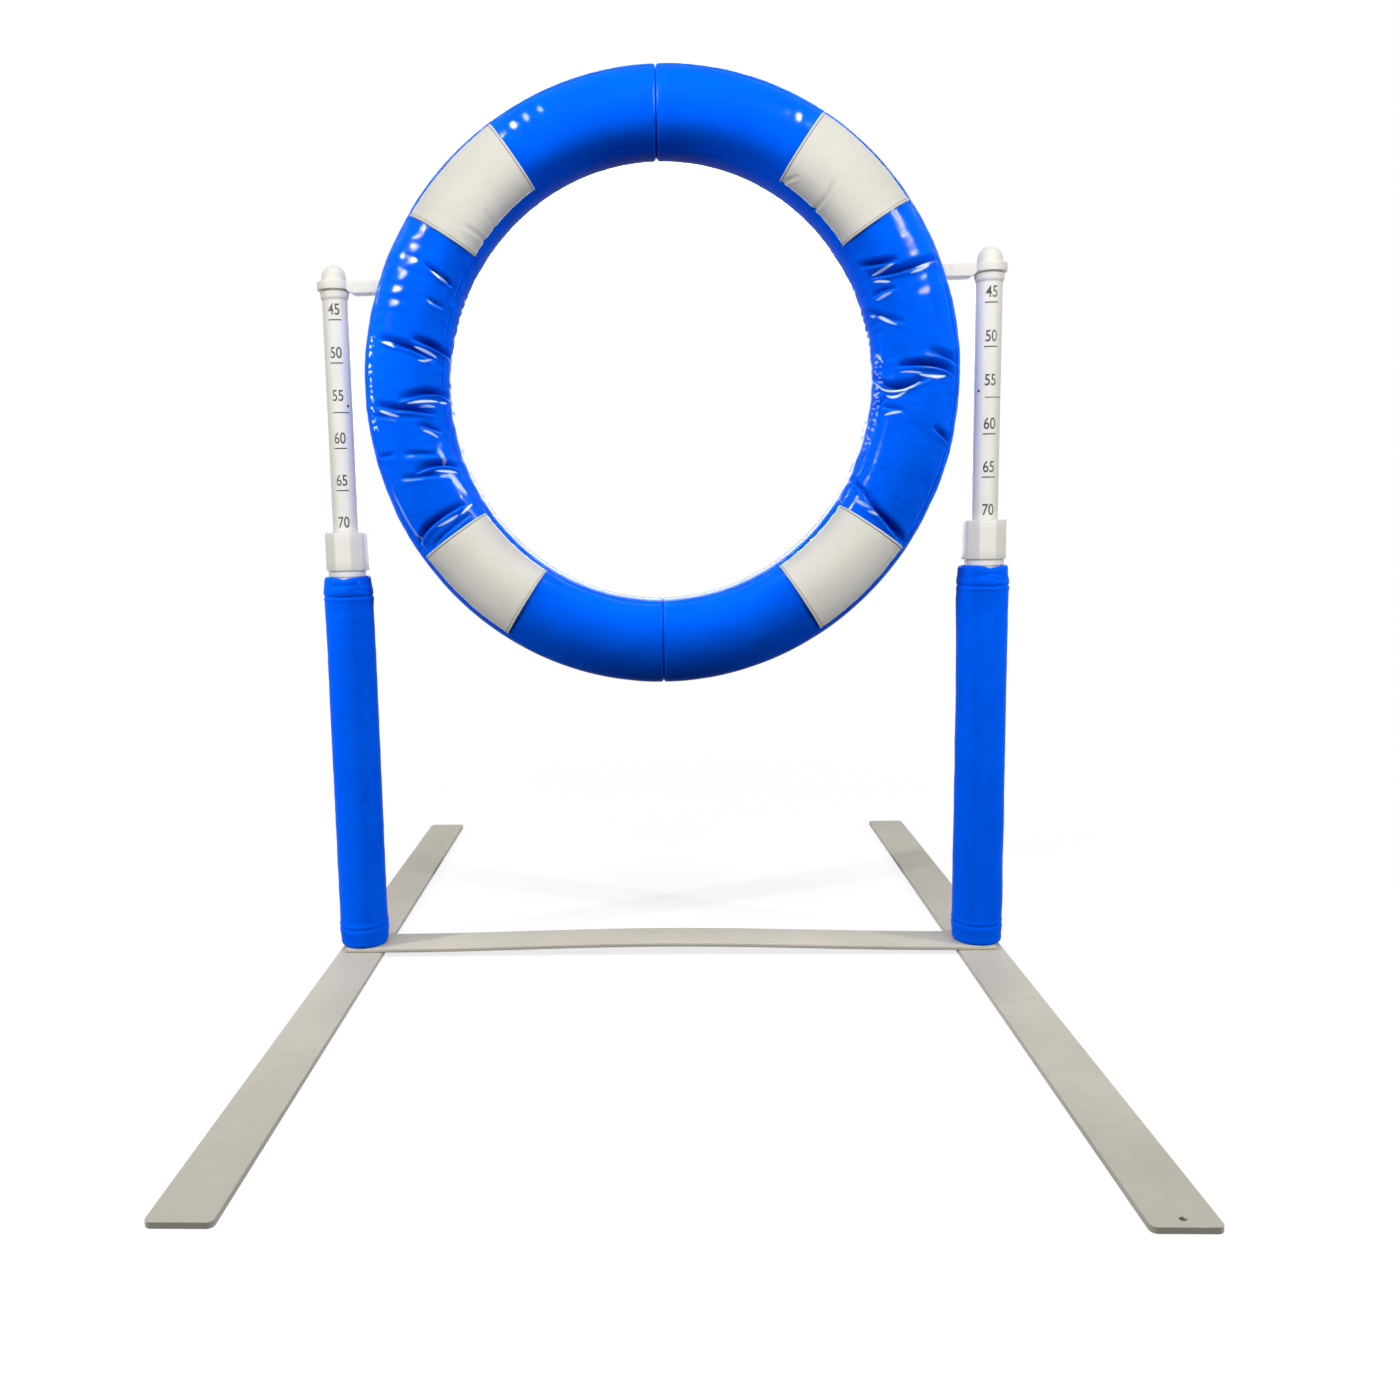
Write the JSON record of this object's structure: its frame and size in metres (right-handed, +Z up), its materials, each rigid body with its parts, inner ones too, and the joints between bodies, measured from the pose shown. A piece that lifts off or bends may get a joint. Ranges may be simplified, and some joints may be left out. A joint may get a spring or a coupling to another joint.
{
  "type": "agility tyre jump",
  "caption": "Free-standing dog agility jump: a padded ring in halves that swing open, hung by arms between height-adjustable padded posts on flat foot bars.",
  "frame": {"origin": "on the floor, midway between the posts, at the foot bars' middle", "axes": "+Z up, +X to the right as seen from the front, -Y towards the front, where the white panels and the scale face"},
  "size_m": [0.832, 1.2, 1.0562],
  "materials": {
    "blue_vinyl": "gloss",
    "white_vinyl": "satin",
    "blue_plastic": "satin",
    "off_white_plastic": "satin",
    "coated_steel": "satin",
    "zinc_steel": "satin",
    "nickel": "gloss",
    "foam": "matte"
  },
  "bodies": {
    "base": {"crossbar": "coated_steel", "left_foot_bar": "coated_steel", "left_post_bolt": "zinc_steel", "left_post_plug": "off_white_plastic", "left_outer_tube": "off_white_plastic", "left_post_foam": "foam", "left_post_cover": "blue_vinyl", "left_threaded_bushing": "off_white_plastic", "left_collet": "off_white_plastic", "right_foot_bar": "coated_steel", "right_post_bolt": "zinc_steel", "right_post_plug": "off_white_plastic", "right_outer_tube": "off_white_plastic", "right_post_foam": "foam", "right_post_cover": "blue_vinyl", "right_threaded_bushing": "off_white_plastic", "right_collet": "off_white_plastic"},
    "left_nut": {"left_clamp_nut": "off_white_plastic"},
    "right_nut": {"right_clamp_nut": "off_white_plastic"},
    "left_column": {"left_inner_tube": "off_white_plastic", "left_guide_ring": "off_white_plastic", "left_top_collar": "off_white_plastic", "left_pivot_stud": "zinc_steel", "left_dome_cap": "off_white_plastic"},
    "right_column": {"right_inner_tube": "off_white_plastic", "right_guide_ring": "off_white_plastic", "right_top_collar": "off_white_plastic", "right_pivot_stud": "zinc_steel", "right_dome_cap": "off_white_plastic"},
    "left_half": {"left_arm": "off_white_plastic", "left_hoop": "zinc_steel", "left_foam_core": "foam", "left_ring_cover": "blue_vinyl", "left_upper_white_panel": "white_vinyl", "left_lower_white_panel": "white_vinyl", "left_upper_end_plate": "blue_plastic", "left_lower_end_plate": "blue_plastic", "left_upper_magnet": "nickel", "left_lower_magnet": "nickel"},
    "right_half": {"right_arm": "off_white_plastic", "right_hoop": "zinc_steel", "right_foam_core": "foam", "right_ring_cover": "blue_vinyl", "right_upper_white_panel": "white_vinyl", "right_lower_white_panel": "white_vinyl", "right_upper_end_plate": "blue_plastic", "right_lower_end_plate": "blue_plastic", "right_upper_magnet": "nickel", "right_lower_magnet": "nickel"}
  },
  "joints": [
    {"name": "left_height", "type": "slide", "parent": "base", "child": "left_column", "axis": [0, 0, 1], "range_m": [-0.25, 0]},
    {"name": "right_height", "type": "slide", "parent": "base", "child": "right_column", "axis": [0, 0, 1], "range_m": [-0.25, 0]},
    {"name": "left_nut_turn", "type": "hinge", "parent": "base", "child": "left_nut", "pos_m": [-0.385, 0, 0.507], "axis": [0, 0, 1], "range_deg": [0, 270]},
    {"name": "right_nut_turn", "type": "hinge", "parent": "base", "child": "right_nut", "pos_m": [0.385, 0, 0.507], "axis": [0, 0, 1], "range_deg": [0, 270]},
    {"name": "left_swing", "type": "hinge", "parent": "left_column", "child": "left_half", "pos_m": [-0.385, 0, 0.82], "axis": [0, 0, 1], "range_deg": [-180, 180]},
    {"name": "right_swing", "type": "hinge", "parent": "right_column", "child": "right_half", "pos_m": [0.385, 0, 0.82], "axis": [0, 0, 1], "range_deg": [-180, 180]}
  ],
  "couplings": [
    {"joint": "right_height", "follows": "left_height", "ratio": 1}
  ]
}
